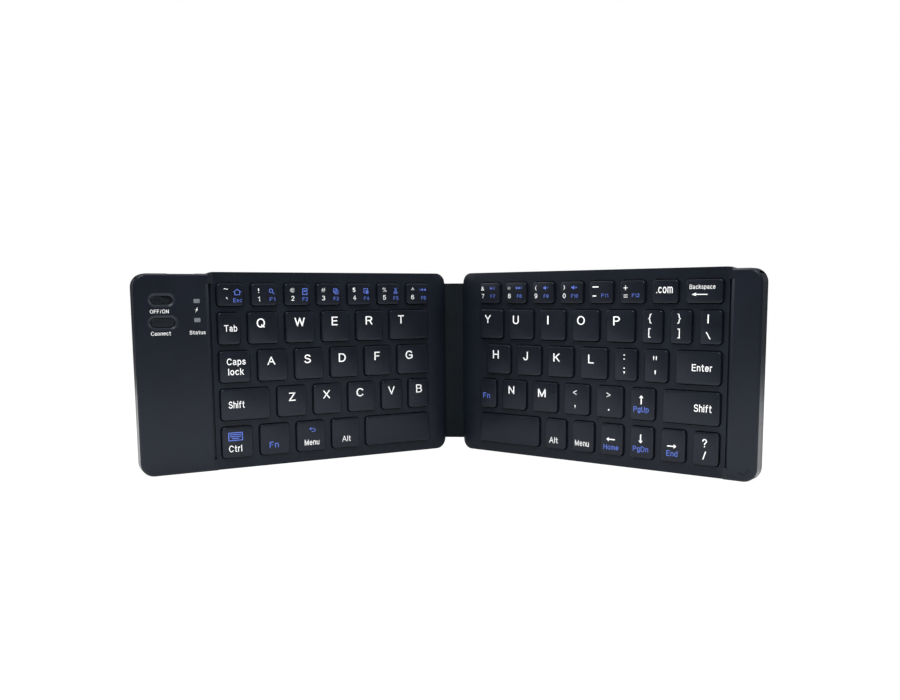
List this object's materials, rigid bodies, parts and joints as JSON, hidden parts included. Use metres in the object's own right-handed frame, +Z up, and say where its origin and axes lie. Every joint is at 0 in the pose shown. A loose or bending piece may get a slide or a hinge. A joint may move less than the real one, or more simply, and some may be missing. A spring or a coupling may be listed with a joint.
{
  "type": "folding keyboard",
  "caption": "Pocket keyboard in two rigid halves joined by a soft spine, with scissor keys and a control panel at the left end.",
  "frame": {"origin": "centre of the bounding box, on the surface that the front edges stand on", "axes": "+X from the left half to the right half, +Z up towards the rear edges, -Y towards the typist's side, which the keys face"},
  "size_m": [0.271, 0.0882, 0.09],
  "materials": {
    "back_shell": "fine-textured black ABS",
    "deck": "fine-textured black ABS",
    "end_cap": "fine-textured black ABS",
    "key": "satin black ABS with printed legends",
    "control": "satin black ABS",
    "window": "translucent grey light guide",
    "spine_rubber": "soft matte black skin",
    "foot_rubber": "matte black rubber",
    "dome_rubber": "translucent silicone",
    "link_plastic": "white acetal",
    "plate_steel": "plain thin steel sheet",
    "screw_steel": "black-coated steel",
    "switch_film": "printed polyester film",
    "flat_cable": "polyimide flat cable",
    "board": "glass-fibre circuit board with parts",
    "cell": "laminate pouch cell",
    "socket_steel": "plated steel can"
  },
  "bodies": {
    "left_half": {"left_base_shell": "back_shell", "left_top_frame": "deck", "left_end_cap": "end_cap", "left_key_plate": "plate_steel", "left_switch_sheet": "switch_film", "left_rubber_domes": "dome_rubber", "left_scissor_links": "link_plastic", "left_screws": "screw_steel", "left_feet": "foot_rubber", "left_spine_tail": "spine_rubber", "main_board": "board", "battery": "cell", "charging_socket": "socket_steel", "light_windows": "window"},
    "spine": {"spine_skin": "spine_rubber", "spine_flex": "flat_cable"},
    "right_half": {"right_base_shell": "back_shell", "right_top_frame": "deck", "right_end_cap": "end_cap", "right_key_plate": "plate_steel", "right_switch_sheet": "switch_film", "right_rubber_domes": "dome_rubber", "right_scissor_links": "link_plastic", "right_screws": "screw_steel", "right_feet": "foot_rubber", "right_spine_tail": "spine_rubber"},
    "power_slider": {"power_slider": "control"},
    "connect_button": {"connect_button": "control"},
    "left_number_keys": {"left_number_keys": "key"},
    "left_command_keys": {"left_command_keys": "key"},
    "left_space_key": {"left_space_key": "key"},
    "right_number_keys": {"right_number_keys": "key"},
    "right_command_keys": {"right_command_keys": "key"},
    "right_space_key": {"right_space_key": "key"},
    "key_q": {"key_q": "key"},
    "key_w": {"key_w": "key"},
    "key_e": {"key_e": "key"},
    "key_r": {"key_r": "key"},
    "key_t": {"key_t": "key"},
    "key_a": {"key_a": "key"},
    "key_s": {"key_s": "key"},
    "key_d": {"key_d": "key"},
    "key_f": {"key_f": "key"},
    "key_g": {"key_g": "key"},
    "key_z": {"key_z": "key"},
    "key_x": {"key_x": "key"},
    "key_c": {"key_c": "key"},
    "key_v": {"key_v": "key"},
    "key_b": {"key_b": "key"},
    "key_y": {"key_y": "key"},
    "key_u": {"key_u": "key"},
    "key_i": {"key_i": "key"},
    "key_o": {"key_o": "key"},
    "key_p": {"key_p": "key"},
    "key_h": {"key_h": "key"},
    "key_j": {"key_j": "key"},
    "key_k": {"key_k": "key"},
    "key_l": {"key_l": "key"},
    "key_n": {"key_n": "key"},
    "key_m": {"key_m": "key"}
  },
  "joints": [
    {"name": "fold_left", "type": "hinge", "parent": "spine", "child": "left_half", "pos_m": [-0.0046, 0.04331, 0.045], "axis": [0, 0, 1], "range_deg": [-33, 57]},
    {"name": "fold_right", "type": "hinge", "parent": "spine", "child": "right_half", "pos_m": [0.0046, 0.04331, 0.045], "axis": [0, 0, -1], "range_deg": [-33, 57]},
    {"name": "power_slide", "type": "slide", "parent": "left_half", "child": "power_slider", "axis": [0.8387, 0.5446, 0], "range_m": [0, 0.0035]},
    {"name": "connect_press", "type": "slide", "parent": "left_half", "child": "connect_button", "axis": [-0.5446, 0.8387, 0], "range_m": [0, 0.0003], "stiffness_N_per_m": 1500},
    {"name": "left_number_keys_press", "type": "slide", "parent": "left_half", "child": "left_number_keys", "axis": [-0.5446, 0.8387, 0], "range_m": [0, 0.0014], "stiffness_N_per_m": 350, "deforming": ["left_rubber_domes", "left_scissor_links"]},
    {"name": "left_command_keys_press", "type": "slide", "parent": "left_half", "child": "left_command_keys", "axis": [-0.5446, 0.8387, 0], "range_m": [0, 0.0014], "stiffness_N_per_m": 350, "deforming": ["left_rubber_domes", "left_scissor_links"]},
    {"name": "left_space_key_press", "type": "slide", "parent": "left_half", "child": "left_space_key", "axis": [-0.5446, 0.8387, 0], "range_m": [0, 0.0014], "stiffness_N_per_m": 350, "deforming": ["left_rubber_domes", "left_scissor_links"]},
    {"name": "right_number_keys_press", "type": "slide", "parent": "right_half", "child": "right_number_keys", "axis": [0.5446, 0.8387, 0], "range_m": [0, 0.0014], "stiffness_N_per_m": 350, "deforming": ["right_rubber_domes", "right_scissor_links"]},
    {"name": "right_command_keys_press", "type": "slide", "parent": "right_half", "child": "right_command_keys", "axis": [0.5446, 0.8387, 0], "range_m": [0, 0.0014], "stiffness_N_per_m": 350, "deforming": ["right_rubber_domes", "right_scissor_links"]},
    {"name": "right_space_key_press", "type": "slide", "parent": "right_half", "child": "right_space_key", "axis": [0.5446, 0.8387, 0], "range_m": [0, 0.0014], "stiffness_N_per_m": 350, "deforming": ["right_rubber_domes", "right_scissor_links"]},
    {"name": "key_q_press", "type": "slide", "parent": "left_half", "child": "key_q", "axis": [-0.5446, 0.8387, 0], "range_m": [0, 0.0014], "stiffness_N_per_m": 350, "deforming": ["left_rubber_domes", "left_scissor_links"]},
    {"name": "key_w_press", "type": "slide", "parent": "left_half", "child": "key_w", "axis": [-0.5446, 0.8387, 0], "range_m": [0, 0.0014], "stiffness_N_per_m": 350, "deforming": ["left_rubber_domes", "left_scissor_links"]},
    {"name": "key_e_press", "type": "slide", "parent": "left_half", "child": "key_e", "axis": [-0.5446, 0.8387, 0], "range_m": [0, 0.0014], "stiffness_N_per_m": 350, "deforming": ["left_rubber_domes", "left_scissor_links"]},
    {"name": "key_r_press", "type": "slide", "parent": "left_half", "child": "key_r", "axis": [-0.5446, 0.8387, 0], "range_m": [0, 0.0014], "stiffness_N_per_m": 350, "deforming": ["left_rubber_domes", "left_scissor_links"]},
    {"name": "key_t_press", "type": "slide", "parent": "left_half", "child": "key_t", "axis": [-0.5446, 0.8387, 0], "range_m": [0, 0.0014], "stiffness_N_per_m": 350, "deforming": ["left_rubber_domes", "left_scissor_links"]},
    {"name": "key_y_press", "type": "slide", "parent": "right_half", "child": "key_y", "axis": [0.5446, 0.8387, 0], "range_m": [0, 0.0014], "stiffness_N_per_m": 350, "deforming": ["right_rubber_domes", "right_scissor_links"]},
    {"name": "key_u_press", "type": "slide", "parent": "right_half", "child": "key_u", "axis": [0.5446, 0.8387, 0], "range_m": [0, 0.0014], "stiffness_N_per_m": 350, "deforming": ["right_rubber_domes", "right_scissor_links"]},
    {"name": "key_i_press", "type": "slide", "parent": "right_half", "child": "key_i", "axis": [0.5446, 0.8387, 0], "range_m": [0, 0.0014], "stiffness_N_per_m": 350, "deforming": ["right_rubber_domes", "right_scissor_links"]},
    {"name": "key_o_press", "type": "slide", "parent": "right_half", "child": "key_o", "axis": [0.5446, 0.8387, 0], "range_m": [0, 0.0014], "stiffness_N_per_m": 350, "deforming": ["right_rubber_domes", "right_scissor_links"]},
    {"name": "key_p_press", "type": "slide", "parent": "right_half", "child": "key_p", "axis": [0.5446, 0.8387, 0], "range_m": [0, 0.0014], "stiffness_N_per_m": 350, "deforming": ["right_rubber_domes", "right_scissor_links"]},
    {"name": "key_a_press", "type": "slide", "parent": "left_half", "child": "key_a", "axis": [-0.5446, 0.8387, 0], "range_m": [0, 0.0014], "stiffness_N_per_m": 350, "deforming": ["left_rubber_domes", "left_scissor_links"]},
    {"name": "key_s_press", "type": "slide", "parent": "left_half", "child": "key_s", "axis": [-0.5446, 0.8387, 0], "range_m": [0, 0.0014], "stiffness_N_per_m": 350, "deforming": ["left_rubber_domes", "left_scissor_links"]},
    {"name": "key_d_press", "type": "slide", "parent": "left_half", "child": "key_d", "axis": [-0.5446, 0.8387, 0], "range_m": [0, 0.0014], "stiffness_N_per_m": 350, "deforming": ["left_rubber_domes", "left_scissor_links"]},
    {"name": "key_f_press", "type": "slide", "parent": "left_half", "child": "key_f", "axis": [-0.5446, 0.8387, 0], "range_m": [0, 0.0014], "stiffness_N_per_m": 350, "deforming": ["left_rubber_domes", "left_scissor_links"]},
    {"name": "key_g_press", "type": "slide", "parent": "left_half", "child": "key_g", "axis": [-0.5446, 0.8387, 0], "range_m": [0, 0.0014], "stiffness_N_per_m": 350, "deforming": ["left_rubber_domes", "left_scissor_links"]},
    {"name": "key_h_press", "type": "slide", "parent": "right_half", "child": "key_h", "axis": [0.5446, 0.8387, 0], "range_m": [0, 0.0014], "stiffness_N_per_m": 350, "deforming": ["right_rubber_domes", "right_scissor_links"]},
    {"name": "key_j_press", "type": "slide", "parent": "right_half", "child": "key_j", "axis": [0.5446, 0.8387, 0], "range_m": [0, 0.0014], "stiffness_N_per_m": 350, "deforming": ["right_rubber_domes", "right_scissor_links"]},
    {"name": "key_k_press", "type": "slide", "parent": "right_half", "child": "key_k", "axis": [0.5446, 0.8387, 0], "range_m": [0, 0.0014], "stiffness_N_per_m": 350, "deforming": ["right_rubber_domes", "right_scissor_links"]},
    {"name": "key_l_press", "type": "slide", "parent": "right_half", "child": "key_l", "axis": [0.5446, 0.8387, 0], "range_m": [0, 0.0014], "stiffness_N_per_m": 350, "deforming": ["right_rubber_domes", "right_scissor_links"]},
    {"name": "key_z_press", "type": "slide", "parent": "left_half", "child": "key_z", "axis": [-0.5446, 0.8387, 0], "range_m": [0, 0.0014], "stiffness_N_per_m": 350, "deforming": ["left_rubber_domes", "left_scissor_links"]},
    {"name": "key_x_press", "type": "slide", "parent": "left_half", "child": "key_x", "axis": [-0.5446, 0.8387, 0], "range_m": [0, 0.0014], "stiffness_N_per_m": 350, "deforming": ["left_rubber_domes", "left_scissor_links"]},
    {"name": "key_c_press", "type": "slide", "parent": "left_half", "child": "key_c", "axis": [-0.5446, 0.8387, 0], "range_m": [0, 0.0014], "stiffness_N_per_m": 350, "deforming": ["left_rubber_domes", "left_scissor_links"]},
    {"name": "key_v_press", "type": "slide", "parent": "left_half", "child": "key_v", "axis": [-0.5446, 0.8387, 0], "range_m": [0, 0.0014], "stiffness_N_per_m": 350, "deforming": ["left_rubber_domes", "left_scissor_links"]},
    {"name": "key_b_press", "type": "slide", "parent": "left_half", "child": "key_b", "axis": [-0.5446, 0.8387, 0], "range_m": [0, 0.0014], "stiffness_N_per_m": 350, "deforming": ["left_rubber_domes", "left_scissor_links"]},
    {"name": "key_n_press", "type": "slide", "parent": "right_half", "child": "key_n", "axis": [0.5446, 0.8387, 0], "range_m": [0, 0.0014], "stiffness_N_per_m": 350, "deforming": ["right_rubber_domes", "right_scissor_links"]},
    {"name": "key_m_press", "type": "slide", "parent": "right_half", "child": "key_m", "axis": [0.5446, 0.8387, 0], "range_m": [0, 0.0014], "stiffness_N_per_m": 350, "deforming": ["right_rubber_domes", "right_scissor_links"]}
  ],
  "couplings": [
    {"joint": "fold_right", "follows": "fold_left", "ratio": 1}
  ]
}
